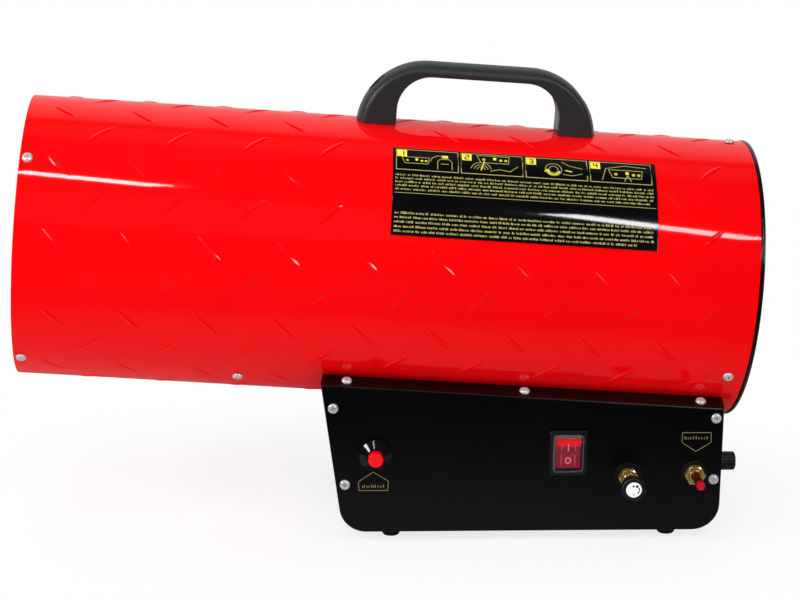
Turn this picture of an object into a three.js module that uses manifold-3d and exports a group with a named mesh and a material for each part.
// Forced air gas heater: a red steel tube with a fan and a burner in it, carried at a slight tilt
// on a black base box that holds the gas valve, the flow control, the igniter and the switch.
// Millimetres, +Z up, z = 0 on the floor. +X points to the fan inlet, -Y to the control panel.

import * as THREE from 'three';
import { mergeVertices } from 'three/addons/utils/BufferGeometryUtils.js';
import Module from 'manifold-3d';

const wasm = await Module();
wasm.setup();

const degree = Math.PI / 180;

// ---------------------------------------------------------------- driving dimensions, mm

const gap = 0.3; // air between two pieces that touch
const boreClearance = 0.35; // radial room round a pin, a stem or a shank
const past = 1; // how far a cutting shape runs past the wall it cuts

// Tube. Places along it are measured from its middle, positive towards the fan inlet.
// Angles round it start at the control-panel side and run up: 90 degrees is the top.
const tubeDiameter = 216;
const tubeLength = 554;
const shellWall = 1;
const tubeTilt = 3.72 * degree; // the outlet end points up
const axisHeight = 206; // the tube's middle above the floor

// Pan-head screws, one size all over
const screwHeadDiameter = 8;
const screwHeadHeight = 2.6;
const screwShankDiameter = 3.8;
const screwLength = 8;
const screwHoleDepth = 12; // through every sheet under the tube's outside

// Hot-air outlet guard
const guardWall = 1; // the sheet band of both guards
const guardWire = 3.4;
const outletBandWidth = 14;
const outletScrewInset = 6; // from the tube's end
const outletScrewAngles = [45, 135, 225, 315];
const outletRingRadii = [34, 66];
const outletBarDiameter = 4.4;
const fingerLength = 20;
const fingerWidth = 8;

// Fan inlet guard
const inletBandWidth = 21;
const inletScrewInset = 13;
const inletScrewAngles = [90, 210, 330];
const inletRingRadii = [28, 56, 84];
const trimWidth = 3; // the rolled trim past the tube's end
const trimOverhang = 0.8; // how far it stands proud of the tube
const trimDepth = 5.6; // its radial height
const inletBarInset = 5;

// Flame tube
const flameTubeDiameter = 166;
const flameTubeWall = 1;
const flameTubeInset = 23; // its mouth, from the tube's outlet end
const flameTubeBurnerRoom = 6; // in front of the burner's bracket
const legInset = 169.6; // from the tube's outlet end
const legAngles = [231, 309];
const legWidth = 14;
const legSheet = 1.5;

// Burner
const burnerInset = 211; // its bracket's front face, from the tube's inlet end
const bracketSheet = 2;
const burnerBracketHeight = 36;
const burnerBracketTab = 14;
const burnerHeadDiameter = 80;
const burnerHeadLength = 42;
const burnerHeadWall = 1.6;
const burnerFlareDiameter = 98;
const burnerFlareLength = 10;
const nozzleDiameter = 11;
const nozzleFlangeDiameter = 18;
const nozzleReach = 22; // in front of the bracket's front face
const nozzleTail = 30; // behind it
const nozzleTaper = 6;
const nozzleFlangeLength = 8;
const probeOffset = 22; // electrode and flame sensor, either side of the nozzle
const ceramicDiameter = 8;
const sparkPinDiameter = 2;
const probeReach = 60; // in front of the bracket's front face
const probeTail = 26; // behind it
const sparkPinLength = 24;
const sensorDiameter = 5;
const sensorTipDiameter = 3;
const sensorTipLength = 12;
const probeCollarDiameter = 13;
const probeCollarLength = 6;

// Fan
const fanDiameter = 202;
const fanBlades = 5;
const fanHubDiameter = 44;
const fanHubInset = 115; // its front face, from the tube's inlet end
const fanHubLength = 30;
const bladeSheet = 1.6;
const bladeRootAngle = 42;
const bladeTipAngle = 24;
const bladeRootChord = 34;
const bladeTipChord = 62;
const bladeRootDepth = 3; // into the hub
const shaftDiameter = 8;
const shaftReach = 11; // in front of the hub
const lockNutAcross = 13;
const lockNutHeight = 7;

// Fan motor and the bracket that shares the inlet guard's screws
const motorPlateInset = 74; // front face of the bracket, from the tube's inlet end
const motorPlateDiameter = 92;
const motorDiameter = 84;
const motorLength = 53;
const motorBossDiameter = 28;
const motorBossLength = 5;
const motorArmWidth = 18;
const motorEndChamfer = 8;
const motorEndWall = 12; // behind the shaft

// Overheat cut-out, under the tube
const cutoutInset = 36; // in front of the burner's bracket
const cutoutAngle = 259;
const cutoutDiameter = 16;
const cutoutHeight = 9;
const cutoutFlangeDiameter = 24;
const cutoutFlange = 1.2;
const cutoutTerminalReach = 7;

// Carrying handle
const handleMiddle = 64.5;
const handleLength = 186; // foot to foot, outside
const handleHeight = 48.3; // above the tube
const handleWidth = 30;
const handleOuterRadius = 54;
const handleInnerRadius = 26;
const handleFootLength = 30.5;
const handleGripThickness = 10.5;
const handleCrown = 7; // depth of the rounded outer side
const handleHoleDiameter = 12;
const handleHoleInset = 14.3; // from the foot's outer end
const handleHoleFloor = 8; // above the tube
const handleFootDepth = 6; // below the tube's top, before the tube cuts it

// Instruction plate, on the control-panel side
const plateStart = -1;
const plateLength = 199.5;
const plateLowAngle = 22.5;
const plateHighAngle = 63;
const plateThickness = 0.4;

// Base box: two folded panels round a U-shaped tray
const baseDepth = 180;
const baseBottom = 8.7; // above the floor
const baseLength = 291.9; // along the bottom edge, before its corners are rounded
const baseInset = 17.5; // its right end, from the tube's inlet end
const leftLean = 8.2 * degree;
const baseCornerRadius = 21;
const panelSheet = 1.2;
const panelRim = 10;
const traySheet = 1.2;
const openTop = 30; // a cutter for an open-topped box runs this far above the fold
const lipSlope = 18.6 * degree;
const lipWidth = 14.8; // from the panels' top fold to the tube
const lipReach = 20; // before the tube cuts it
const tubeClearance = 1; // between the tray's end walls and the tube

// Panel screws. Pairs are the upper and the lower one, from that end's edge.
const leftScrewInsets = [6.7, 7.1];
const rightScrewInsets = [6.2, 6.1];
const leftUpperDrop = 17.05; // below the fold at that end
const rightUpperDrop = 7.4;
const leftLowerHeight = 48;
const rightLowerHeight = 50.6;
const screwTabWidth = 14;
const lipScrewLeftInset = 19.6; // from the fold's ends
const lipScrewRightInset = 17.8;
const lipScrewInset = 7; // from the fold

// Saddle rails, between the lips and the tube
const railSheet = 1.5;
const railInset = 8.3; // from the fold's ends
const railLegStart = 3; // from the fold
const railFlankAngle = 17; // how far it runs down the tube, in degrees

// Feet
const footDiameter = 18;
const footSoleDiameter = 12;
const footInset = 38; // from the box's left and right ends
const footFromPanel = 20; // behind the panel's face

// Igniter
const igniterFromLeft = 24.5; // from where the left edge meets the bottom edge
const igniterZ = 72.1;
const igniterBezelDiameter = 25;
const igniterBezelRim = 3;
const igniterBezelHeight = 8.2;
const igniterCollarDiameter = 15;
const igniterBodyDiameter = 16;
const igniterBodyLength = 52; // behind the panel's face
const igniterNutDiameter = 24;
const igniterNutHeight = 5.5;
const igniterButtonDiameter = 11.5;
const igniterButtonReach = 15.4;
const igniterButtonTail = 12;
const igniterTravel = 7;

// Mains switch
const switchFromRight = 119.5;
const switchZ = 73;
const switchFrameWidth = 29;
const switchFrameHeight = 36;
const switchFrameDepth = 2.5;
const switchBodyWidth = 25;
const switchBodyHeight = 31.5;
const switchBodyDepth = 26;
const rockerWidth = 19.2;
const rockerRadius = 12.3; // of its rounded ends, about the pivot
const rockerCornerAngle = 20 * degree;
const rockerValley = 1.2;
const rockerTilt = 10 * degree; // either side of level; it rests with the lower half pressed
const rockerWellDepth = 12;
const hoodWidth = 23.4;
const hoodHeight = 29.9;
const hoodFrontScale = 0.88;
const hoodReach = 8.2; // in front of the panel's face
const hoodWall = 0.8;

// Flow control
const regulatorFromRight = 72.4;
const regulatorZ = 53.4;
const regulatorWasherDiameter = 22.7;
const knobDiameter = 19;
const knobLength = 6.5;
const knobReach = 31;
const knobNeckDiameter = 10;
const knobNeckBack = 13;
const knobDiscDiameter = 12;
const knobDiscThickness = 0.8;
const knobEndWall = 4;
const spindleDiameter = 6;

// Gas valve
const valveFromRight = 21.3;
const valveZ = 55.6;
const valveWasherDiameter = 20.7;
const valveButtonDiameter = 6.6;
const valveButtonReach = 31;
const valveButtonTail = 12;
const valveTravel = 5;

// Shared by the flow control and the gas valve
const threadDiameter = 10;
const threadReach = 9;
const washerThickness = 1.2;
const hexAcross = 14;
const hexHeight = 5.5;
const blockSize = 24;
const regulatorDepth = 45;
const valveDepth = 40;
const blockNeckDiameter = 16;
const blockNeckLength = 8;
const linkPipeDiameter = 8;

// Gas inlet on the right-hand end wall
const inletDepth = 28; // behind the panel's face
const inletDiameter = 12;
const inletReach = 15; // outside the tray's end wall
const inletCollarDiameter = 17;
const inletCollarWidth = 2.2;
const capDiameter = 14.6;
const capWall = 1;
const capEnd = 1.6;

// Pipe and lead between the base and the burner
const pipeDiameter = 6;
const pipeOffset = 22; // its drop, behind the nozzle
const pipeBend = 16;
const grommetRoom = 2; // round the pipe and the lead where they go into the tube
const leadDiameter = 5;
const leadOffset = 16; // its drop, behind the electrode
const leadBend = 11;

// Cable gland and terminal block
const glandFromRight = 54.5;
const glandZ = 52;
const glandBore = 8;
const glandThreadDiameter = 15.6;
const glandHexDiameter = 23;
const glandHexWidth = 5;
const glandDomeDiameter = 18;
const glandReach = 21;
const glandNoseTaper = 5;
const glandThreadEnd = 2; // past the nut inside the box
const terminalFromLeft = 92.4;
const terminalY = 38;
const terminalLength = 44;
const terminalWidth = 20;
const terminalHeight = 15;
const terminalStep = 8.25;

// ---------------------------------------------------------------- derived sizes

const tubeRadius = tubeDiameter / 2;
const shellInside = tubeRadius - shellWall;
const outletEnd = -tubeLength / 2;
const inletEnd = tubeLength / 2;
const outletScrewPlace = outletEnd + outletScrewInset;
const inletScrewPlace = inletEnd - inletScrewInset;
const guardOutside = shellInside - gap;
const guardInside = guardOutside - guardWall;
const screwHole = screwShankDiameter / 2 + boreClearance;
const burnerPlace = inletEnd - burnerInset;
const nozzleFront = burnerPlace - nozzleReach;
const nozzleBack = burnerPlace + nozzleTail;
const probeFront = burnerPlace - probeReach;
const probeBack = burnerPlace + probeTail;
const pipePlace = nozzleBack + pipeOffset;
const leadPlace = probeBack + leadOffset;
const flameTubeFront = outletEnd + flameTubeInset;
const flameTubeBack = burnerPlace - flameTubeBurnerRoom;
const legPlace = outletEnd + legInset;
const cutoutPlace = burnerPlace - cutoutInset;
const fanHubFront = inletEnd - fanHubInset;
const fanHubBack = fanHubFront + fanHubLength;
const shaftFront = fanHubFront - shaftReach;
const motorPlate = inletEnd - motorPlateInset;
const baseRight = inletEnd - baseInset;
const baseLeft = baseRight - baseLength;
const igniterX = baseLeft + igniterFromLeft;
const switchX = baseRight - switchFromRight;
const regulatorX = baseRight - regulatorFromRight;
const valveX = baseRight - valveFromRight;
const glandX = baseRight - glandFromRight;
const terminalX = baseLeft + terminalFromLeft;
const panelFace = -baseDepth / 2;
const trayInset = panelSheet + gap;
const trayHalfDepth = baseDepth / 2 - panelSheet - gap;
const trayOutside = baseBottom + trayInset;
const threadHole = threadDiameter / 2 + boreClearance;
const inletY = panelFace + inletDepth;

// Where the lips meet the tube, and from there the fold below the tube's axis
const lipEndY = baseDepth / 2 - lipWidth * Math.cos(lipSlope);
const lipEndDrop = Math.sqrt(tubeRadius ** 2 - lipEndY ** 2);
const foldDrop = lipEndDrop + lipWidth * Math.sin(lipSlope);
const lipEndAngle = Math.asin(lipEndDrop / tubeRadius) / degree; // below the horizontal
const leftScrewHeights = [foldHeight(baseLeft) - leftUpperDrop, leftLowerHeight];
const rightScrewHeights = [foldHeight(baseRight) - rightUpperDrop, rightLowerHeight];
const panelScrewPlaces = [
  ...leftScrewHeights.map((z, i) => [leftEdge(z) + leftScrewInsets[i], z]),
  ...rightScrewHeights.map((z, i) => [baseRight - rightScrewInsets[i], z]),
];

// The leaning left edge at a height above the floor.
function leftEdge(z) {
  return baseLeft - (z - baseBottom) * Math.tan(leftLean);
}

const cutoutLift = 0.5; // keeps its flat flange off the tube's curve

// ---------------------------------------------------------------- solids, cuts and joins

function solidOf(geometry) {
  const bare = geometry.clone();
  bare.deleteAttribute('normal');
  bare.deleteAttribute('uv');
  const merged = mergeVertices(bare);
  const corners = merged.index.array;
  const kept = [];
  for (let i = 0; i < corners.length; i += 3) {
    const [a, b, c] = corners.slice(i, i + 3);
    if (a !== b && b !== c && c !== a) {
      kept.push(a, b, c);
    }
  }
  return new wasm.Manifold(new wasm.Mesh({
    numProp: 3,
    vertProperties: new Float32Array(merged.attributes.position.array),
    triVerts: new Uint32Array(kept),
  }));
}

function geometryOf(solid) {
  const mesh = solid.getMesh();
  const geometry = new THREE.BufferGeometry();
  geometry.setAttribute('position', new THREE.BufferAttribute(new Float32Array(mesh.vertProperties), 3));
  geometry.setIndex(new THREE.BufferAttribute(new Uint32Array(mesh.triVerts), 1));
  geometry.computeVertexNormals();
  return geometry;
}

function joined(...geometries) {
  return geometryOf(geometries.map(solidOf).reduce((whole, next) => whole.add(next)));
}

function cut(geometry, ...tools) {
  return geometryOf(tools.map(solidOf).reduce((rest, tool) => rest.subtract(tool), solidOf(geometry)));
}

function common(first, second) {
  return geometryOf(solidOf(first).intersect(solidOf(second)));
}

// ---------------------------------------------------------------- basic shapes

// A turned piece about +Z. The profile is [radius, z] points, from the low end round the outside
// to the top; a ring's profile ends on its first point.
function turned(profile, segments = 24) {
  const geometry = new THREE.LatheGeometry(profile.map(([r, z]) => new THREE.Vector2(r, z)), segments);
  return geometry.rotateX(Math.PI / 2);
}

function ring(inner, outer, low, high, segments = 24) {
  return turned([[inner, low], [outer, low], [outer, high], [inner, high], [inner, low]], segments);
}

function disc(radius, low, high, segments = 24) {
  return turned([[0, low], [radius, low], [radius, high], [0, high]], segments);
}

function box(low, high) {
  const geometry = new THREE.BoxGeometry(high[0] - low[0], high[1] - low[1], high[2] - low[2]);
  return geometry.translate((low[0] + high[0]) / 2, (low[1] + high[1]) / 2, (low[2] + high[2]) / 2);
}

// A rod of the given radius from one point to another.
function rod(radius, from, to, segments = 8) {
  const start = new THREE.Vector3(...from);
  const span = new THREE.Vector3(...to).sub(start);
  const geometry = disc(radius, 0, span.length(), segments);
  const turn = new THREE.Quaternion().setFromUnitVectors(new THREE.Vector3(0, 0, 1), span.normalize());
  return geometry.applyQuaternion(turn).translate(start.x, start.y, start.z);
}

// Corners are [x, y, radius]; a corner with a radius becomes an arc.
function roundedShape(corners, arcSteps = 6) {
  const points = [];
  corners.forEach(([x, y, radius = 0], i) => {
    const corner = new THREE.Vector2(x, y);
    if (radius === 0) {
      points.push(corner);
      return;
    }
    const before = corners[(i + corners.length - 1) % corners.length];
    const after = corners[(i + 1) % corners.length];
    const back = new THREE.Vector2(before[0] - x, before[1] - y).normalize();
    const ahead = new THREE.Vector2(after[0] - x, after[1] - y).normalize();
    const half = Math.acos(back.dot(ahead)) / 2;
    const centre = back.clone().add(ahead).setLength(radius / Math.sin(half)).add(corner);
    const reach = radius / Math.tan(half);
    const start = back.clone().multiplyScalar(reach).add(corner).sub(centre);
    const sweep = Math.PI - 2 * half;
    const side = Math.sign(back.cross(ahead));
    for (let step = 0; step <= arcSteps; step += 1) {
      const turn = -side * sweep * step / arcSteps;
      points.push(start.clone().rotateAround(new THREE.Vector2(), turn).add(centre));
    }
  });
  return new THREE.Shape(points);
}

function rectangle(width, height, radius = 0) {
  const w = width / 2;
  const h = height / 2;
  return roundedShape([[-w, -h, radius], [w, -h, radius], [w, h, radius], [-w, h, radius]], 3);
}

function hexagon(across) {
  const points = [];
  for (let i = 0; i < 6; i += 1) {
    const angle = i * Math.PI / 3;
    const reach = across / Math.sqrt(3);
    points.push(new THREE.Vector2(reach * Math.cos(angle), reach * Math.sin(angle)));
  }
  return new THREE.Shape(points);
}

function extruded(shape, low, high) {
  const geometry = new THREE.ExtrudeGeometry(shape, { depth: high - low, bevelEnabled: false });
  return geometry.translate(0, 0, low);
}

// A shape drawn in x and z, extruded along Y.
function extrudedAlongY(shape, low, high) {
  return extruded(shape, -high, -low).rotateX(Math.PI / 2);
}

// A shape drawn in y and z, extruded along X.
const yzToX = new THREE.Matrix4().makeBasis(
  new THREE.Vector3(0, 1, 0),
  new THREE.Vector3(0, 0, 1),
  new THREE.Vector3(1, 0, 0),
);

function extrudedAlongX(shape, low, high) {
  return extruded(shape, low, high).applyMatrix4(yzToX);
}

// ---------------------------------------------------------------- tube frame

// In the tube's frame x runs along its axis. aroundTube gives [y, z] at an angle from the front.
function aroundTube(radius, angle) {
  return [-radius * Math.cos(angle * degree), radius * Math.sin(angle * degree)];
}

function tubeCylinder(radius, low, high, segments = 72) {
  return disc(radius, low, high, segments).rotateY(Math.PI / 2);
}

function tubeRing(inner, outer, low, high, segments = 72) {
  return ring(inner, outer, low, high, segments).rotateY(Math.PI / 2);
}

// A strip of a ring about the tube's axis, between two angles.
function arcBand(inner, outer, lowAngle, highAngle, low, high, steps = 8) {
  const points = [];
  for (let step = 0; step <= steps; step += 1) {
    points.push(aroundTube(outer, lowAngle + (highAngle - lowAngle) * step / steps));
  }
  for (let step = steps; step >= 0; step -= 1) {
    points.push(aroundTube(inner, lowAngle + (highAngle - lowAngle) * step / steps));
  }
  return extrudedAlongX(new THREE.Shape(points.map(([y, z]) => new THREE.Vector2(y, z))), low, high);
}

// A rod along a radius of the tube.
function radialRod(radius, place, angle, inner, outer, segments = 10) {
  return rod(radius, [place, ...aroundTube(inner, angle)], [place, ...aroundTube(outer, angle)], segments);
}

function radialHole(place, angle) {
  return radialRod(screwHole, place, angle, tubeRadius - screwHoleDepth, tubeRadius + past);
}

const tubeTurn = new THREE.Matrix4().makeRotationY(tubeTilt).setPosition(0, 0, axisHeight);

// A point of the tube's frame, in the floor's frame.
function fromTube(x, y, z) {
  return new THREE.Vector3(x, y, z).applyMatrix4(tubeTurn);
}

// ---------------------------------------------------------------- groups and meshes

const heater = new THREE.Group();
const base = new THREE.Group();
const tube = new THREE.Group();
tube.applyMatrix4(tubeTurn);
heater.add(base, tube);

function finish(color, roughness, metalness) {
  return { color, roughness, metalness };
}

const redPaint = finish(0xd8060c, 0.22, 0);
const blackPaint = finish(0x111112, 0.35, 0);
const blackPlastic = finish(0x1d1d1f, 0.5, 0);
const glossBlack = finish(0x0a0a0b, 0.15, 0);
const redPlastic = finish(0xd01018, 0.3, 0);
const zinc = finish(0xc9cdd0, 0.35, 1);
const brass = finish(0xc79a45, 0.3, 1);
const copper = finish(0xb8704a, 0.35, 1);
const bareSteel = finish(0x9a9c9e, 0.4, 1);
const aluminium = finish(0xb4b7ba, 0.4, 1);
const rubber = finish(0x141414, 0.85, 0);
const ceramic = finish(0xe8e4da, 0.4, 0);
const whitePlastic = finish(0xf0f0ee, 0.35, 0);
const clearCover = finish(0xdde4e6, 0.1, 0);
const leadCover = finish(0x8c1c14, 0.5, 0);

function addPiece(group, name, geometry, look) {
  const mesh = new THREE.Mesh(geometry, new THREE.MeshStandardMaterial(look));
  mesh.name = name;
  group.add(mesh);
  return mesh;
}

// ---------------------------------------------------------------- screws

// A pan-head screw along +Z; its head seats on z = 0.
function screw() {
  const head = screwHeadDiameter / 2;
  const shank = screwShankDiameter / 2;
  return turned([
    [0, -screwLength],
    [shank, -screwLength],
    [shank, gap],
    [head, gap],
    [head, gap + screwHeadHeight * 0.3],
    [head * 0.78, gap + screwHeadHeight * 0.75],
    [0, gap + screwHeadHeight],
  ], 10);
}

function addTubeScrew(name, place, angle) {
  const mesh = addPiece(tube, name, screw(), zinc);
  mesh.position.set(place, ...aroundTube(tubeRadius, angle));
  mesh.rotation.x = Math.PI / 2 - angle * degree;
}

// ---------------------------------------------------------------- outer shell

// Through the tube's underside, for a pipe or a lead.
function pipeHole(place, y, diameter) {
  const low = [place, y, -tubeRadius - past];
  const high = [place, y, -tubeRadius + screwHoleDepth];
  return rod(diameter / 2 + grommetRoom, low, high, 12);
}

function outerShell() {
  const shell = tubeRing(shellInside, tubeRadius, outletEnd, inletEnd);
  const holes = [
    ...outletScrewAngles.map((angle) => radialHole(outletScrewPlace, angle)),
    ...inletScrewAngles.map((angle) => radialHole(inletScrewPlace, angle)),
    pipeHole(pipePlace, 0, pipeDiameter),
    pipeHole(leadPlace, -probeOffset, leadDiameter),
  ];
  return cut(shell, ...holes);
}

addPiece(tube, 'outer_shell', outerShell(), redPaint);

// ---------------------------------------------------------------- outlet guard

const outletBarPlace = outletEnd + outletBandWidth - past;

function wireRing(radius, wire, place) {
  const geometry = new THREE.TorusGeometry(radius, wire / 2, 5, 24);
  return geometry.rotateY(Math.PI / 2).translate(place, 0, 0);
}

function crossBar(diameter, place, angle) {
  const reach = guardInside + guardWall / 2;
  return rod(diameter / 2, [place, ...aroundTube(reach, angle)], [place, ...aroundTube(-reach, angle)]);
}

// A finger that steadies the flame tube's mouth from outside.
function guardFinger(angle) {
  const inner = flameTubeDiameter / 2 + gap;
  const halfAngle = fingerWidth / 2 / inner / degree;
  return arcBand(inner, inner + guardWall, angle - halfAngle, angle + halfAngle,
    outletBarPlace, outletBarPlace + fingerLength, 2);
}

function outletGuard() {
  const band = tubeRing(guardInside, guardOutside, outletEnd + gap, outletEnd + outletBandWidth, 48);
  const guard = joined(
    band,
    crossBar(outletBarDiameter, outletBarPlace, 45),
    crossBar(outletBarDiameter, outletBarPlace, 135),
    ...outletRingRadii.map((radius) => wireRing(radius, guardWire, outletBarPlace - guardWire / 2)),
    ...outletScrewAngles.map(guardFinger),
  );
  return cut(guard, ...outletScrewAngles.map((angle) => radialHole(outletScrewPlace, angle)));
}

addPiece(tube, 'outlet_guard', outletGuard(), zinc);
outletScrewAngles.forEach((angle, i) => {
  addTubeScrew(`outlet_screw_${i + 1}`, outletScrewPlace, angle);
});

// ---------------------------------------------------------------- inlet guard

const inletBarPlace = inletEnd - inletBarInset;

function inletGuard() {
  const band = tubeRing(guardInside, guardOutside, inletEnd - inletBandWidth, inletEnd + trimWidth, 48);
  const trimOutside = tubeRadius + trimOverhang;
  const trim = tubeRing(trimOutside - trimDepth, trimOutside, inletEnd + gap, inletEnd + gap + trimWidth);
  const guard = joined(
    band,
    trim,
    ...[0, 60, 120].map((angle) => crossBar(guardWire, inletBarPlace, angle)),
    ...inletRingRadii.map((radius) => wireRing(radius, guardWire, inletBarPlace + guardWire / 2)),
  );
  return cut(guard, ...inletScrewAngles.map((angle) => radialHole(inletScrewPlace, angle)));
}

addPiece(tube, 'inlet_guard', inletGuard(), glossBlack);
inletScrewAngles.forEach((angle, i) => {
  addTubeScrew(`guard_screw_${i + 1}`, inletScrewPlace, angle);
});

// ---------------------------------------------------------------- flame tube and burner

// A leg welded to the flame tube, with a foot that the shell is screwed to.
function flameTubeLeg(angle) {
  const footHalf = legWidth / 2 / shellInside / degree;
  const stemHalf = legWidth / 2 / flameTubeDiameter * 2 / degree;
  const foot = arcBand(guardInside, guardOutside, angle - footHalf, angle + footHalf,
    legPlace - legWidth / 2, legPlace + legWidth / 2, 3);
  const stem = arcBand(flameTubeDiameter / 2 - flameTubeWall / 2, guardInside + guardWall / 2,
    angle - stemHalf, angle + stemHalf, legPlace + legWidth / 2 - legSheet, legPlace + legWidth / 2, 3);
  return joined(foot, stem);
}

function flameTube() {
  const radius = flameTubeDiameter / 2;
  const wall = tubeRing(radius - flameTubeWall, radius, flameTubeFront, flameTubeBack, 48);
  return joined(wall, ...legAngles.map(flameTubeLeg));
}

addPiece(tube, 'flame_tube', flameTube(), bareSteel);

function burnerBracket() {
  const half = burnerBracketHeight / 2;
  const back = burnerPlace + bracketSheet;
  const tabEnd = burnerPlace + burnerBracketTab;
  const strip = common(
    box([burnerPlace, -tubeRadius, -half], [back, tubeRadius, half]),
    tubeCylinder(guardOutside, burnerPlace - past, back + past, 64),
  );
  const tabs = common(
    box([burnerPlace, -tubeRadius, -half], [tabEnd, tubeRadius, half]),
    tubeRing(guardOutside - bracketSheet, guardOutside, burnerPlace - past, tabEnd + past, 64),
  );
  const hole = (y, diameter) => {
    const reach = diameter / 2 + boreClearance;
    return rod(reach, [burnerPlace - past, y, 0], [back + past, y, 0], 12);
  };
  return cut(
    joined(strip, tabs),
    hole(0, nozzleDiameter),
    hole(-probeOffset, ceramicDiameter),
    hole(probeOffset, sensorDiameter),
  );
}

function burnerHead() {
  const outer = burnerHeadDiameter / 2;
  const inner = outer - burnerHeadWall;
  const back = burnerPlace - gap;
  const front = back - burnerHeadLength;
  const flare = burnerFlareDiameter / 2;
  const cup = turned([
    [nozzleDiameter / 2 + boreClearance, back - burnerHeadWall],
    [inner, back - burnerHeadWall],
    [inner, front],
    [flare - burnerHeadWall, front - burnerFlareLength],
    [flare, front - burnerFlareLength],
    [outer, front],
    [outer, back],
    [nozzleDiameter / 2 + boreClearance, back],
    [nozzleDiameter / 2 + boreClearance, back - burnerHeadWall],
  ], 24).rotateY(Math.PI / 2);
  const hole = (y, diameter) => {
    const reach = diameter / 2 + boreClearance;
    return rod(reach, [back - burnerHeadWall - past, y, 0], [back + past, y, 0], 12);
  };
  return cut(cup, hole(-probeOffset, ceramicDiameter), hole(probeOffset, sensorDiameter));
}

const bracketBack = burnerPlace + bracketSheet + gap;

function gasNozzle() {
  const radius = nozzleDiameter / 2;
  const flange = nozzleFlangeDiameter / 2;
  return turned([
    [0, nozzleFront],
    [radius * 0.5, nozzleFront],
    [radius, nozzleFront + nozzleTaper],
    [radius, bracketBack],
    [flange, bracketBack],
    [flange, bracketBack + nozzleFlangeLength],
    [radius, bracketBack + nozzleFlangeLength + 2],
    [radius, nozzleBack],
    [0, nozzleBack],
  ], 16).rotateY(Math.PI / 2);
}

// A ceramic or steel probe along the tube, with a collar behind the burner's bracket.
function probe(diameter, pinDiameter, pinFront, bodyFront) {
  const body = diameter / 2;
  const pin = pinDiameter / 2;
  const collar = probeCollarDiameter / 2;
  return turned([
    [0, pinFront],
    [pin, pinFront],
    [pin, bodyFront],
    [body, bodyFront + 2],
    [body, bracketBack],
    [collar, bracketBack],
    [collar, bracketBack + probeCollarLength],
    [body * 0.9, bracketBack + probeCollarLength],
    [body * 0.9, probeBack],
    [0, probeBack],
  ], 12).rotateY(Math.PI / 2);
}

addPiece(tube, 'burner_bracket', burnerBracket(), bareSteel);
addPiece(tube, 'burner_head', burnerHead(), bareSteel);
addPiece(tube, 'gas_nozzle', gasNozzle(), brass);

const sparkElectrode = probe(ceramicDiameter, sparkPinDiameter, probeFront, probeFront + sparkPinLength);
addPiece(tube, 'spark_electrode', sparkElectrode, ceramic).position.y = -probeOffset;

const flameSensor = probe(sensorDiameter, sensorTipDiameter, probeFront, probeFront + sensorTipLength);
addPiece(tube, 'flame_sensor', flameSensor, copper).position.y = probeOffset;

// ---------------------------------------------------------------- fan and motor

// A twisted blade: flat sections, each turned by its own angle, from the hub to the tip.
function fanBlade() {
  const stations = 5;
  const places = [];
  const root = fanHubDiameter / 2 - bladeRootDepth;
  const middle = (fanHubFront + fanHubBack) / 2;
  for (let i = 0; i <= stations; i += 1) {
    const share = i / stations;
    const radius = root + (fanDiameter / 2 - root) * share;
    const chord = bladeRootChord + (bladeTipChord - bladeRootChord) * share;
    const angle = (bladeRootAngle + (bladeTipAngle - bladeRootAngle) * share) * degree;
    const along = new THREE.Vector3(Math.sin(angle), Math.cos(angle), 0);
    const across = new THREE.Vector3(Math.cos(angle), -Math.sin(angle), 0);
    for (const [u, v] of [[-0.5, -0.5], [0.5, -0.5], [0.5, 0.5], [-0.5, 0.5]]) {
      const point = new THREE.Vector3(middle, 0, radius);
      point.addScaledVector(along, u * chord);
      point.addScaledVector(across, v * bladeSheet);
      const flatRadius = Math.hypot(point.y, point.z);
      point.y *= radius / flatRadius;
      point.z *= radius / flatRadius;
      places.push(...point.toArray());
    }
  }
  const faces = [0, 1, 2, 0, 2, 3];
  for (let i = 0; i < stations; i += 1) {
    for (let side = 0; side < 4; side += 1) {
      const a = 4 * i + side;
      const b = 4 * i + (side + 1) % 4;
      faces.push(a, a + 4, b + 4, a, b + 4, b);
    }
  }
  const tip = 4 * stations;
  faces.push(tip, tip + 2, tip + 1, tip, tip + 3, tip + 2);
  const geometry = new THREE.BufferGeometry();
  geometry.setAttribute('position', new THREE.BufferAttribute(new Float32Array(places), 3));
  geometry.setIndex(faces);
  return geometry;
}

function fanImpeller() {
  const bore = shaftDiameter / 2 + boreClearance;
  const hub = tubeRing(bore, fanHubDiameter / 2, fanHubFront, fanHubBack, 32);
  const blades = [];
  for (let i = 0; i < fanBlades; i += 1) {
    blades.push(fanBlade().rotateX(i * 2 * Math.PI / fanBlades));
  }
  return joined(hub, ...blades);
}

const motorFront = motorPlate + bracketSheet + gap;
const motorBack = motorFront + motorLength;
const shaftBack = motorBack - motorEndWall;

function lockNut() {
  const high = fanHubFront - gap;
  const nut = extruded(hexagon(lockNutAcross), high - lockNutHeight, high).rotateY(Math.PI / 2);
  const bore = shaftDiameter / 2 + boreClearance;
  return cut(nut, tubeCylinder(bore, high - lockNutHeight - past, high + past, 12));
}

function fanMotor() {
  const bore = shaftDiameter / 2 + boreClearance;
  const body = motorDiameter / 2;
  return turned([
    [0, shaftBack + gap],
    [bore, shaftBack + gap],
    [bore, motorFront - motorBossLength],
    [motorBossDiameter / 2, motorFront - motorBossLength],
    [motorBossDiameter / 2, motorFront],
    [body, motorFront],
    [body, motorBack - motorEndChamfer],
    [body - motorEndChamfer, motorBack],
    [0, motorBack],
  ], 24).rotateY(Math.PI / 2);
}

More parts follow.
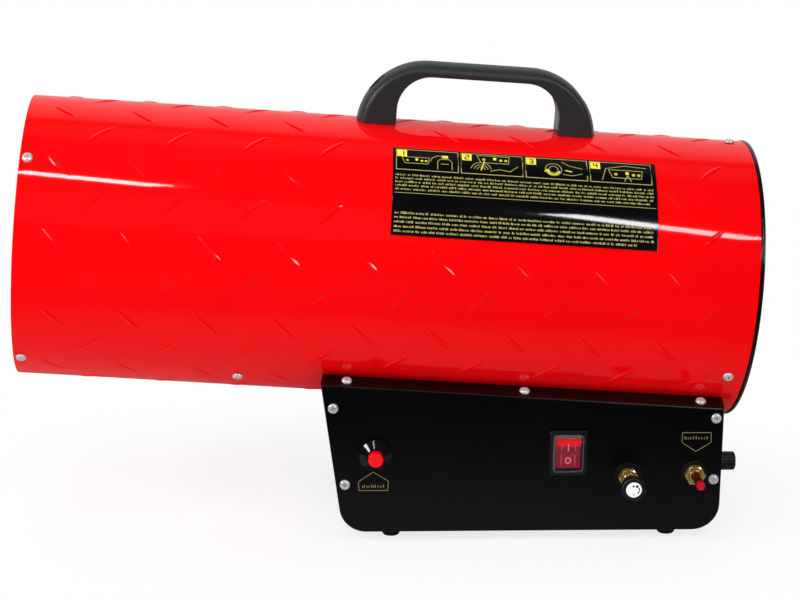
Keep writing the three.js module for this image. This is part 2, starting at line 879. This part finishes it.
function motorBracket() {
  const plateBack = motorPlate + bracketSheet;
  const plate = tubeRing(motorBossDiameter / 2 + 1, motorPlateDiameter / 2, motorPlate, plateBack, 32);
  const legOutside = guardInside - gap;
  const legInside = legOutside - guardWall;
  const legHalf = motorArmWidth / 2 / legOutside / degree;
  const arms = inletScrewAngles.flatMap((angle) => {
    const arm = box(
      [motorPlate, -motorArmWidth / 2, motorPlateDiameter / 2 - 4],
      [plateBack, motorArmWidth / 2, legInside + guardWall / 2],
    ).rotateX((90 - angle) * degree);
    const leg = arcBand(legInside, legOutside, angle - legHalf, angle + legHalf,
      motorPlate, inletScrewPlace + 6, 3);
    return [arm, leg];
  });
  return cut(
    joined(plate, ...arms),
    ...inletScrewAngles.map((angle) => radialHole(inletScrewPlace, angle)),
  );
}

addPiece(tube, 'fan_impeller', fanImpeller(), aluminium);
addPiece(tube, 'motor_shaft', tubeCylinder(shaftDiameter / 2, shaftFront, shaftBack, 12), zinc);
addPiece(tube, 'fan_lock_nut', lockNut(), zinc);
addPiece(tube, 'fan_motor', fanMotor(), bareSteel);
addPiece(tube, 'motor_bracket', motorBracket(), zinc);

// ---------------------------------------------------------------- overheat cut-out

function overheatCutout() {
  const flange = disc(cutoutFlangeDiameter / 2, gap, gap + cutoutFlange, 16);
  const body = disc(cutoutDiameter / 2, gap, gap + cutoutHeight, 16);
  const top = cutoutHeight + cutoutTerminalReach;
  const terminal = (x) => box([x - 0.4, -3, cutoutHeight - past], [x + 0.4, 3, top]);
  return joined(flange, body, terminal(-4), terminal(4));
}

const cutout = addPiece(tube, 'overheat_cutout', overheatCutout(), blackPlastic);
cutout.position.set(cutoutPlace, ...aroundTube(tubeRadius + cutoutLift, cutoutAngle));
cutout.rotation.x = Math.PI / 2 - cutoutAngle * degree;

// ---------------------------------------------------------------- handle

// The handle's outer and inner sides run up the foot, round a corner and along the grip.
// Stations pair a point of each side; share 0 is the foot and 1 the middle of the grip.
function handleStations() {
  const top = tubeRadius + handleHeight;
  const outerCentre = new THREE.Vector2(handleOuterRadius, top - handleOuterRadius);
  const innerCentre = new THREE.Vector2(
    handleFootLength + handleInnerRadius,
    top - handleGripThickness - handleInnerRadius,
  );
  const footDepth = tubeRadius - handleFootDepth;
  const stations = [[
    new THREE.Vector2(0, footDepth),
    new THREE.Vector2(handleFootLength, footDepth),
  ]];
  const steps = 8;
  for (let step = 0; step <= steps; step += 1) {
    const angle = Math.PI - step / steps * Math.PI / 2;
    const ray = new THREE.Vector2(Math.cos(angle), Math.sin(angle));
    stations.push([
      outerCentre.clone().addScaledVector(ray, handleOuterRadius),
      innerCentre.clone().addScaledVector(ray, handleInnerRadius),
    ]);
  }
  return stations;
}

// Half of a station's section: flat inner side, straight flank, rounded outer side.
function handleSection(outer, inner) {
  const half = handleWidth / 2;
  const across = outer.clone().sub(inner);
  const crown = handleCrown / across.length();
  const rounds = 3;
  const section = [[0, -half + 2], [0.12, -half]];
  for (let step = 0; step <= 2 * rounds; step += 1) {
    const angle = Math.PI * step / (2 * rounds);
    section.push([1 - crown + crown * Math.sin(angle), -half * Math.cos(angle)]);
  }
  section.push([0.12, half], [0, half - 2]);
  return section.map(([share, y]) => {
    const point = inner.clone().addScaledVector(across, share);
    return [point.x, y, point.y];
  });
}

function loft(sections) {
  const sides = sections[0].length;
  const faces = [];
  for (let i = 0; i + 1 < sections.length; i += 1) {
    for (let side = 0; side < sides; side += 1) {
      const a = i * sides + side;
      const b = i * sides + (side + 1) % sides;
      faces.push(a, b + sides, b, a, a + sides, b + sides);
    }
  }
  const last = (sections.length - 1) * sides;
  for (let side = 1; side + 1 < sides; side += 1) {
    faces.push(0, side, side + 1, last, last + side + 1, last + side);
  }
  const geometry = new THREE.BufferGeometry();
  geometry.setAttribute('position', new THREE.BufferAttribute(new Float32Array(sections.flat(2)), 3));
  geometry.setIndex(faces);
  return geometry;
}

function handle() {
  const near = handleStations();
  const far = near.map((pair) => pair.map((p) => new THREE.Vector2(handleLength - p.x, p.y))).reverse();
  const sections = [...near, ...far].map(([outer, inner]) => handleSection(outer, inner));
  const start = handleMiddle - handleLength / 2;
  const bar = loft(sections).translate(start, 0, 0);
  const top = tubeRadius + handleHeight;
  const wells = [handleHoleInset, handleLength - handleHoleInset].map((place) => rod(
    handleHoleDiameter / 2,
    [start + place, 0, tubeRadius + handleHoleFloor],
    [start + place, 0, top],
    16,
  ));
  return cut(bar, tubeCylinder(tubeRadius + gap, start - past, start + handleLength + past), ...wells);
}

addPiece(tube, 'handle', handle(), blackPlastic);

// ---------------------------------------------------------------- instruction plate

const platePiece = arcBand(tubeRadius + gap, tubeRadius + gap + plateThickness,
  plateLowAngle, plateHighAngle, plateStart, plateStart + plateLength, 12);
addPiece(tube, 'instruction_plate', platePiece, glossBlack);

// ---------------------------------------------------------------- base box

// The box's outline in x and z, moved inwards by inset; its top edge runs along the tube
// at a distance drop below the tube's axis.
function baseOutline(inset, drop) {
  const lean = Math.tan(leftLean);
  const slope = Math.tan(tubeTilt);
  const leftAtBottom = baseLeft + inset / Math.cos(leftLean);
  const topAtMiddle = axisHeight - drop / Math.cos(tubeTilt);
  const bottom = baseBottom + inset;
  const right = baseRight - inset;
  const topLeft = (leftAtBottom - (topAtMiddle - baseBottom) * lean) / (1 - lean * slope);
  const radius = baseCornerRadius - inset;
  return roundedShape([
    [leftAtBottom - inset * lean, bottom, radius],
    [right, bottom, radius],
    [right, topAtMiddle - right * slope],
    [topLeft, topAtMiddle - topLeft * slope],
  ]);
}

const panelOutline = baseOutline(0, foldDrop);
const foldLeft = fromFloor(leftEdgeAt(foldDrop));
const foldRight = fromFloor(new THREE.Vector3(baseRight, 0, foldHeight(baseRight)));

// The fold's height above the floor at a place along the base.
function foldHeight(x) {
  return axisHeight - foldDrop / Math.cos(tubeTilt) - x * Math.tan(tubeTilt);
}

// The box's upper left corner.
function leftEdgeAt(drop) {
  const points = baseOutline(0, drop).getPoints();
  const corner = points[points.length - 1];
  return new THREE.Vector3(corner.x, 0, corner.y);
}

// A place along the tube for a point of the floor's frame.
function fromFloor(point) {
  return point.clone().applyMatrix4(tubeTurn.clone().invert()).x;
}

// A strip parallel to the lip in the tube's frame, as distances from the fold and below the lip.
function lipStrip(from, to, upper, lower) {
  const fold = new THREE.Vector2(panelFace, -foldDrop);
  const ahead = new THREE.Vector2(Math.cos(lipSlope), Math.sin(lipSlope));
  const down = new THREE.Vector2(Math.sin(lipSlope), -Math.cos(lipSlope));
  const point = (along, below) => fold.clone().addScaledVector(ahead, along).addScaledVector(down, below);
  return new THREE.Shape([point(from, lower), point(to, lower), point(to, upper), point(from, upper)]);
}

const tubeCut = tubeCylinder(tubeRadius + gap, outletEnd, inletEnd);
const firstLipScrew = foldLeft + lipScrewLeftInset;
const lastLipScrew = foldRight - lipScrewRightInset;
const lipScrewPlaces = [firstLipScrew, (firstLipScrew + lastLipScrew) / 2, lastLipScrew];
const railStart = foldLeft + railInset;
const railEnd = foldRight - railInset;

// Where a lip screw goes through, as a rod square to the lip.
function lipScrewRod(place) {
  const seat = lipScrewSeat(place);
  const up = lipNormal();
  const low = seat.clone().addScaledVector(up, -screwHoleDepth);
  const high = seat.clone().addScaledVector(up, past);
  return rod(screwHole, low.toArray(), high.toArray(), 10);
}

function lipNormal() {
  return new THREE.Vector3(0, -Math.sin(lipSlope), Math.cos(lipSlope));
}

function lipScrewSeat(place) {
  return new THREE.Vector3(
    place,
    panelFace + lipScrewInset * Math.cos(lipSlope),
    -foldDrop + lipScrewInset * Math.sin(lipSlope),
  );
}

// A folded panel for the control side, with a rim round three edges and a lip along the tube.
function foldedPanel(withLipHoles) {
  const rimBack = panelFace + panelRim;
  const pan = cut(
    extrudedAlongY(panelOutline, panelFace, rimBack),
    extrudedAlongY(
      baseOutline(panelSheet, foldDrop - openTop),
      panelFace + panelSheet,
      rimBack + past,
    ),
  );
  const strip = extrudedAlongX(lipStrip(0, lipReach, 0, panelSheet), foldLeft + past, foldRight);
  const holes = withLipHoles ? lipScrewPlaces.map(lipScrewRod) : [];
  const lip = cut(strip, tubeCut, ...holes).applyMatrix4(tubeTurn);
  return joined(pan, lip);
}

function controlPanel() {
  const hole = (x, z, radius) => (
    rod(radius, [x, panelFace - past, z], [x, panelFace + panelSheet + past, z], 16)
  );
  const switchHole = extrudedAlongY(
    rectangle(switchBodyWidth + 2 * gap, switchBodyHeight + 2 * gap),
    panelFace - past,
    panelFace + panelSheet + past,
  ).translate(switchX, 0, switchZ);
  return cut(
    foldedPanel(true),
    hole(igniterX, igniterZ, igniterBodyDiameter / 2 + boreClearance),
    hole(regulatorX, regulatorZ, threadHole),
    hole(valveX, valveZ, threadHole),
    switchHole,
    ...panelScrewPlaces.map(([x, z]) => hole(x, z, screwHole)),
  );
}

function rearPanel() {
  const hole = rod(
    glandThreadDiameter / 2 + boreClearance,
    [glandX, -panelFace - panelSheet - past, glandZ],
    [glandX, -panelFace + past, glandZ],
    16,
  );
  return cut(geometryOf(solidOf(foldedPanel(false)).mirror([0, 1, 0])), hole);
}

// The tray: floor and end walls in one strip, with tabs behind the panels' screws.
function baseTray() {
  const top = foldDrop + 2 * panelSheet;
  const outer = extrudedAlongY(baseOutline(trayInset, top), -trayHalfDepth, trayHalfDepth);
  const inner = extrudedAlongY(
    baseOutline(trayInset + traySheet, top - openTop),
    -trayHalfDepth - past,
    trayHalfDepth + past,
  );
  const tabs = panelScrewPlaces.flatMap(([x, z]) => [-1, 1].map((side) => {
    const face = side * (trayHalfDepth - traySheet / 2);
    const half = screwTabWidth / 2;
    return common(outer, box(
      [x - half, face - traySheet / 2, z - half],
      [x + half, face + traySheet / 2, z + half],
    ));
  }));
  const screwHoles = panelScrewPlaces.map(([x, z]) => (
    rod(screwHole, [x, -trayHalfDepth - past, z], [x, trayHalfDepth + past, z], 10)
  ));
  const saddle = tubeCylinder(tubeRadius + tubeClearance, outletEnd, inletEnd).applyMatrix4(tubeTurn);
  const inletHole = rod(
    inletDiameter / 2 + boreClearance,
    [baseRight - trayInset - traySheet - past, inletY, valveZ],
    [baseRight, inletY, valveZ],
    16,
  );
  return cut(joined(cut(outer, inner), ...tabs), saddle, inletHole, ...screwHoles);
}

// A rail under the lip: one leg carries the lip's screws, the other lies along the tube.
function saddleRail() {
  const legTop = panelSheet + gap;
  const leg = lipStrip(railLegStart, lipReach, legTop, legTop + railSheet);
  const flank = arcBand(tubeRadius + gap, tubeRadius + gap + railSheet,
    -lipEndAngle - railFlankAngle, -lipEndAngle, railStart, railEnd, 5);
  const lipRoom = lipStrip(-lipReach, 2 * lipReach, -lipReach, legTop);
  return cut(
    joined(extrudedAlongX(leg, railStart, railEnd), flank),
    extrudedAlongX(lipRoom, railStart - past, railEnd + past),
    tubeCut,
    ...lipScrewPlaces.map(lipScrewRod),
  );
}

addPiece(base, 'control_panel', controlPanel(), blackPaint);
addPiece(base, 'rear_panel', rearPanel(), blackPaint);
addPiece(base, 'base_tray', baseTray(), blackPaint);
addPiece(tube, 'saddle_rail_front', saddleRail(), zinc);
addPiece(tube, 'saddle_rail_rear', geometryOf(solidOf(saddleRail()).mirror([0, 1, 0])), zinc);

panelScrewPlaces.forEach(([x, z], i) => {
  const mesh = addPiece(base, `panel_screw_${i + 1}`, screw(), zinc);
  mesh.position.set(x, panelFace, z);
  mesh.rotation.x = Math.PI / 2;
});

lipScrewPlaces.forEach((place, i) => {
  const mesh = addPiece(tube, `lip_screw_${i + 1}`, screw(), zinc);
  mesh.position.copy(lipScrewSeat(place));
  mesh.rotation.x = lipSlope;
});

// ---------------------------------------------------------------- feet

function foot() {
  const top = trayOutside - gap;
  return turned([
    [0, 0],
    [footSoleDiameter / 2, 0],
    [footDiameter / 2, top * 0.6],
    [footDiameter / 2, top],
    [0, top],
  ], 16);
}

const footRows = { front: panelFace + footFromPanel, rear: -panelFace - footFromPanel };
const footColumns = { left: baseLeft + footInset, right: baseRight - footInset };
for (const [row, y] of Object.entries(footRows)) {
  for (const [column, x] of Object.entries(footColumns)) {
    addPiece(base, `foot_${row}_${column}`, foot(), rubber).position.set(x, y, 0);
  }
}

// ---------------------------------------------------------------- controls

// Puts a piece made along +Z on the panel, pointing out of it at x and z.
function onPanel(mesh, x, z) {
  mesh.position.set(x, panelFace, z);
  mesh.rotation.x = Math.PI / 2;
}

function igniterHousing() {
  const bore = igniterButtonDiameter / 2 + boreClearance;
  const body = igniterBodyDiameter / 2;
  const behind = -panelSheet - gap;
  return turned([
    [0, -igniterBodyLength],
    [body, -igniterBodyLength],
    [body, behind - igniterNutHeight],
    [igniterNutDiameter / 2, behind - igniterNutHeight],
    [igniterNutDiameter / 2, behind],
    [body, behind],
    [body, gap],
    [igniterBezelDiameter / 2, gap],
    [igniterBezelDiameter / 2, igniterBezelRim],
    [igniterCollarDiameter / 2, igniterBezelHeight],
    [bore, igniterBezelHeight],
    [bore, -igniterButtonTail - igniterTravel - past],
    [0, -igniterButtonTail - igniterTravel - past],
  ], 24);
}

function pushButton(diameter, tail, reach) {
  const radius = diameter / 2;
  const edge = radius * 0.25;
  return turned([
    [0, -tail],
    [radius, -tail],
    [radius, reach - edge],
    [radius - edge, reach],
    [0, reach],
  ], 16);
}

onPanel(addPiece(base, 'igniter_housing', igniterHousing(), glossBlack), igniterX, igniterZ);
const igniterButton = pushButton(igniterButtonDiameter, igniterButtonTail, igniterButtonReach);
onPanel(addPiece(base, 'igniter_button', igniterButton, redPlastic), igniterX, igniterZ);

// Switch, drawn with x across, y up and z out of the panel.
function switchHousing() {
  const frame = extruded(rectangle(switchFrameWidth, switchFrameHeight, 2), gap, gap + switchFrameDepth);
  const body = extruded(rectangle(switchBodyWidth, switchBodyHeight), -switchBodyDepth, gap + past);
  const wellHeight = 2 * (rockerRadius + gap);
  const well = extruded(
    rectangle(rockerWidth + 2 * boreClearance, wellHeight),
    -rockerWellDepth,
    gap + switchFrameDepth + past,
  );
  return cut(joined(frame, body), well);
}

function switchRocker() {
  const points = [[0, rockerValley]];
  const endSteps = 4;
  const sweep = 2.2 * rockerCornerAngle;
  for (const side of [1, -1]) {
    for (let step = 0; step <= endSteps; step += 1) {
      const share = side > 0 ? step / endSteps : 1 - step / endSteps;
      const angle = rockerCornerAngle - sweep * share;
      points.push([side * rockerRadius * Math.cos(angle), rockerRadius * Math.sin(angle)]);
    }
  }
  const outline = new THREE.Shape(points.map(([up, out]) => new THREE.Vector2(up, out)));
  const half = rockerWidth / 2;
  return extrudedAlongX(outline, -half, half);
}

function switchHood() {
  const back = gap + switchFrameDepth + gap;
  const shell = (width, height, radius, low, high) => {
    const geometry = extruded(rectangle(width, height, radius), low, high);
    const places = geometry.attributes.position;
    for (let i = 0; i < places.count; i += 1) {
      const scale = places.getZ(i) > (low + high) / 2 ? hoodFrontScale : 1;
      places.setXY(i, places.getX(i) * scale, places.getY(i) * scale);
    }
    return geometry;
  };
  const inside = 2 * hoodWall;
  return cut(
    shell(hoodWidth, hoodHeight, 3, back, hoodReach),
    shell(hoodWidth - inside, hoodHeight - inside, 2.2, back - past, hoodReach - hoodWall),
  );
}

onPanel(addPiece(base, 'switch_housing', switchHousing(), glossBlack), switchX, switchZ);
onPanel(addPiece(base, 'switch_hood', switchHood(), clearCover), switchX, switchZ);
const rocker = addPiece(base, 'switch_rocker', switchRocker(), redPlastic);
rocker.position.set(switchX, panelFace, switchZ);
rocker.rotation.x = Math.PI / 2 + rockerTilt;

// Washer and hexagon nut on a threaded neck.
function washer(diameter) {
  return ring(threadHole, diameter / 2, gap, gap + washerThickness, 24);
}

function hexNut() {
  const low = 2 * gap + washerThickness;
  const nut = extruded(hexagon(hexAcross), low, low + hexHeight);
  return cut(nut, disc(threadHole, low - past, low + hexHeight + past, 16));
}

// A brass body behind the panel: a square block and a threaded neck through the panel.
function gasBody(depth) {
  const half = blockSize / 2;
  const front = -panelSheet - traySheet - 2 * gap;
  return joined(
    box([-half, -half, -depth + blockNeckLength], [half, half, front]),
    disc(blockNeckDiameter / 2, -depth, -depth + blockNeckLength + past, 16),
    disc(threadDiameter / 2, front - past, threadReach, 16),
  );
}

function regulatorBody() {
  const spindle = disc(spindleDiameter / 2, threadReach - past, knobReach - knobEndWall - 1, 12);
  const pipeY = (valveZ - regulatorZ) / 2;
  const reach = valveX - regulatorX - blockSize / 2 - gap;
  const start = [blockSize / 2 - past, pipeY, -inletDepth];
  const link = rod(linkPipeDiameter / 2, start, [reach, pipeY, -inletDepth], 12);
  return joined(gasBody(regulatorDepth), spindle, link);
}

function valveBody() {
  const bore = disc(
    valveButtonDiameter / 2 + boreClearance,
    -valveButtonTail - valveTravel - past,
    threadReach + past,
    16,
  );
  return cut(gasBody(valveDepth), bore);
}

function regulatorKnob() {
  const radius = knobDiameter / 2;
  const bore = spindleDiameter / 2 + boreClearance;
  const seat = knobDiscDiameter / 2 + boreClearance;
  const knobBack = knobReach - knobLength;
  return turned([
    [bore, knobNeckBack],
    [knobNeckDiameter / 2, knobNeckBack],
    [knobNeckDiameter / 2, knobBack],
    [radius - 1, knobBack],
    [radius, knobBack + 1],
    [radius, knobReach - 1.5],
    [radius - 1.5, knobReach],
    [seat, knobReach],
    [seat, knobReach - knobDiscThickness],
    [0, knobReach - knobDiscThickness],
    [0, knobReach - knobEndWall],
    [bore, knobReach - knobEndWall],
    [bore, knobNeckBack],
  ], 24);
}

onPanel(addPiece(base, 'regulator_body', regulatorBody(), brass), regulatorX, regulatorZ);
onPanel(addPiece(base, 'regulator_washer', washer(regulatorWasherDiameter), rubber), regulatorX, regulatorZ);
onPanel(addPiece(base, 'regulator_nut', hexNut(), brass), regulatorX, regulatorZ);
onPanel(addPiece(base, 'regulator_knob', regulatorKnob(), blackPlastic), regulatorX, regulatorZ);
const knobDisc = disc(knobDiscDiameter / 2, knobReach - knobDiscThickness + gap, knobReach + gap, 24);
onPanel(addPiece(base, 'knob_disc', knobDisc, whitePlastic), regulatorX, regulatorZ);

onPanel(addPiece(base, 'valve_body', valveBody(), brass), valveX, valveZ);
onPanel(addPiece(base, 'valve_washer', washer(valveWasherDiameter), rubber), valveX, valveZ);
onPanel(addPiece(base, 'valve_nut', hexNut(), brass), valveX, valveZ);
const valveButton = pushButton(valveButtonDiameter, valveButtonTail, valveButtonReach);
onPanel(addPiece(base, 'valve_button', valveButton, redPlastic), valveX, valveZ);

// ---------------------------------------------------------------- gas inlet

const wallOutside = baseRight - trayInset;
const inletTip = wallOutside + inletReach;

// Both are made along +X at the inlet's axis.
function inletNipple() {
  const start = valveX + blockSize / 2 + gap;
  const radius = inletDiameter / 2;
  const collarStart = wallOutside + gap;
  return turned([
    [0, start],
    [radius, start],
    [radius, collarStart],
    [inletCollarDiameter / 2, collarStart],
    [inletCollarDiameter / 2, collarStart + inletCollarWidth],
    [radius, collarStart + inletCollarWidth],
    [radius, inletTip],
    [0, inletTip],
  ], 20);
}

function dustCap() {
  const bore = inletDiameter / 2 + boreClearance;
  const outer = capDiameter / 2;
  const start = wallOutside + 2 * gap + inletCollarWidth;
  const end = inletTip + gap + capEnd;
  return turned([
    [0, inletTip + gap],
    [bore, inletTip + gap],
    [bore, start],
    [outer, start],
    [outer, end - 1],
    [outer - 1, end],
    [0, end],
  ], 20);
}

for (const [name, geometry, look] of [
  ['gas_inlet_nipple', inletNipple(), brass],
  ['inlet_dust_cap', dustCap(), blackPlastic],
]) {
  const mesh = addPiece(base, name, geometry, look);
  mesh.position.set(0, inletY, valveZ);
  mesh.rotation.y = Math.PI / 2;
}

// ---------------------------------------------------------------- pipe and lead

// A round section along straight runs joined by bends.
function bentTube(radius, corners, bend, sides, steps) {
  const path = new THREE.CurvePath();
  let start = corners[0];
  for (let i = 1; i + 1 < corners.length; i += 1) {
    const into = corners[i].clone().sub(corners[i - 1]).setLength(bend);
    const out = corners[i + 1].clone().sub(corners[i]).setLength(bend);
    const before = corners[i].clone().sub(into);
    const after = corners[i].clone().add(out);
    path.add(new THREE.LineCurve3(start, before));
    path.add(new THREE.QuadraticBezierCurve3(before, corners[i], after));
    start = after;
  }
  path.add(new THREE.LineCurve3(start, corners[corners.length - 1]));
  const section = new THREE.Shape();
  for (let side = 0; side < sides; side += 1) {
    const angle = side / sides * 2 * Math.PI;
    const point = [radius * Math.cos(angle), radius * Math.sin(angle)];
    if (side === 0) {
      section.moveTo(...point);
    } else {
      section.lineTo(...point);
    }
  }
  return new THREE.ExtrudeGeometry(section, { steps, bevelEnabled: false, extrudePath: path });
}

// The point on a tube radius, straight down in the tube's frame, at a height above the floor.
function belowTube(place, y, height) {
  const top = fromTube(place, y, 0);
  const down = fromTube(place, y, -1).sub(top);
  return top.clone().addScaledVector(down, (height - top.z) / down.z);
}

const feedPipe = bentTube(pipeDiameter / 2, [
  fromTube(nozzleBack + gap, 0, 0),
  fromTube(pipePlace, 0, 0),
  belowTube(pipePlace, 0, regulatorZ),
  new THREE.Vector3(regulatorX, 0, regulatorZ),
  new THREE.Vector3(regulatorX, panelFace + regulatorDepth + gap, regulatorZ),
], pipeBend, 6, 36);
addPiece(base, 'gas_feed_pipe', feedPipe, copper);

const igniterLead = bentTube(leadDiameter / 2, [
  new THREE.Vector3(igniterX, panelFace + igniterBodyLength + gap, igniterZ),
  new THREE.Vector3(igniterX, -probeOffset, igniterZ),
  belowTube(leadPlace, -probeOffset, igniterZ),
  fromTube(leadPlace, -probeOffset, 0),
  fromTube(probeBack + gap, -probeOffset, 0),
], leadBend, 6, 34);
addPiece(base, 'igniter_lead', igniterLead, leadCover);

// ---------------------------------------------------------------- cable gland, terminal block

function cableGland() {
  const bore = glandBore / 2;
  const thread = glandThreadDiameter / 2;
  const hex = glandHexDiameter / 2;
  const dome = glandDomeDiameter / 2;
  const behind = -panelSheet - gap;
  return turned([
    [bore, behind - glandHexWidth - glandThreadEnd],
    [thread, behind - glandHexWidth - glandThreadEnd],
    [thread, behind - glandHexWidth],
    [hex, behind - glandHexWidth],
    [hex, behind],
    [thread, behind],
    [thread, gap],
    [hex, gap],
    [hex, gap + glandHexWidth],
    [dome, gap + glandHexWidth],
    [dome, glandReach - glandNoseTaper],
    [(dome + bore) / 2, glandReach],
    [bore, glandReach],
    [bore, behind - glandHexWidth - glandThreadEnd],
  ], 16);
}

const gland = addPiece(base, 'cable_gland', cableGland(), blackPlastic);
gland.position.set(glandX, -panelFace, glandZ);
gland.rotation.x = -Math.PI / 2;

function terminalBlock() {
  const half = terminalWidth / 2;
  const profile = new THREE.Shape([
    new THREE.Vector2(-half, 0),
    new THREE.Vector2(half, 0),
    new THREE.Vector2(half, terminalStep),
    new THREE.Vector2(half / 2, terminalStep),
    new THREE.Vector2(half / 2, terminalHeight),
    new THREE.Vector2(-half / 2, terminalHeight),
    new THREE.Vector2(-half / 2, terminalStep),
    new THREE.Vector2(-half, terminalStep),
  ]);
  return extrudedAlongX(profile, -terminalLength / 2, terminalLength / 2);
}

const trayFloor = trayOutside + traySheet;
const terminal = addPiece(base, 'terminal_block', terminalBlock(), whitePlastic);
terminal.position.set(terminalX, terminalY, trayFloor + gap);

// ---------------------------------------------------------------- placing

// The frame's origin is on the floor, under the middle of the whole heater.
heater.updateMatrixWorld(true);
const bounds = new THREE.Box3().setFromObject(heater, true);
const middle = bounds.getCenter(new THREE.Vector3());
heater.position.set(-middle.x, -middle.y, 0);
heater.updateMatrixWorld(true);

export default heater;
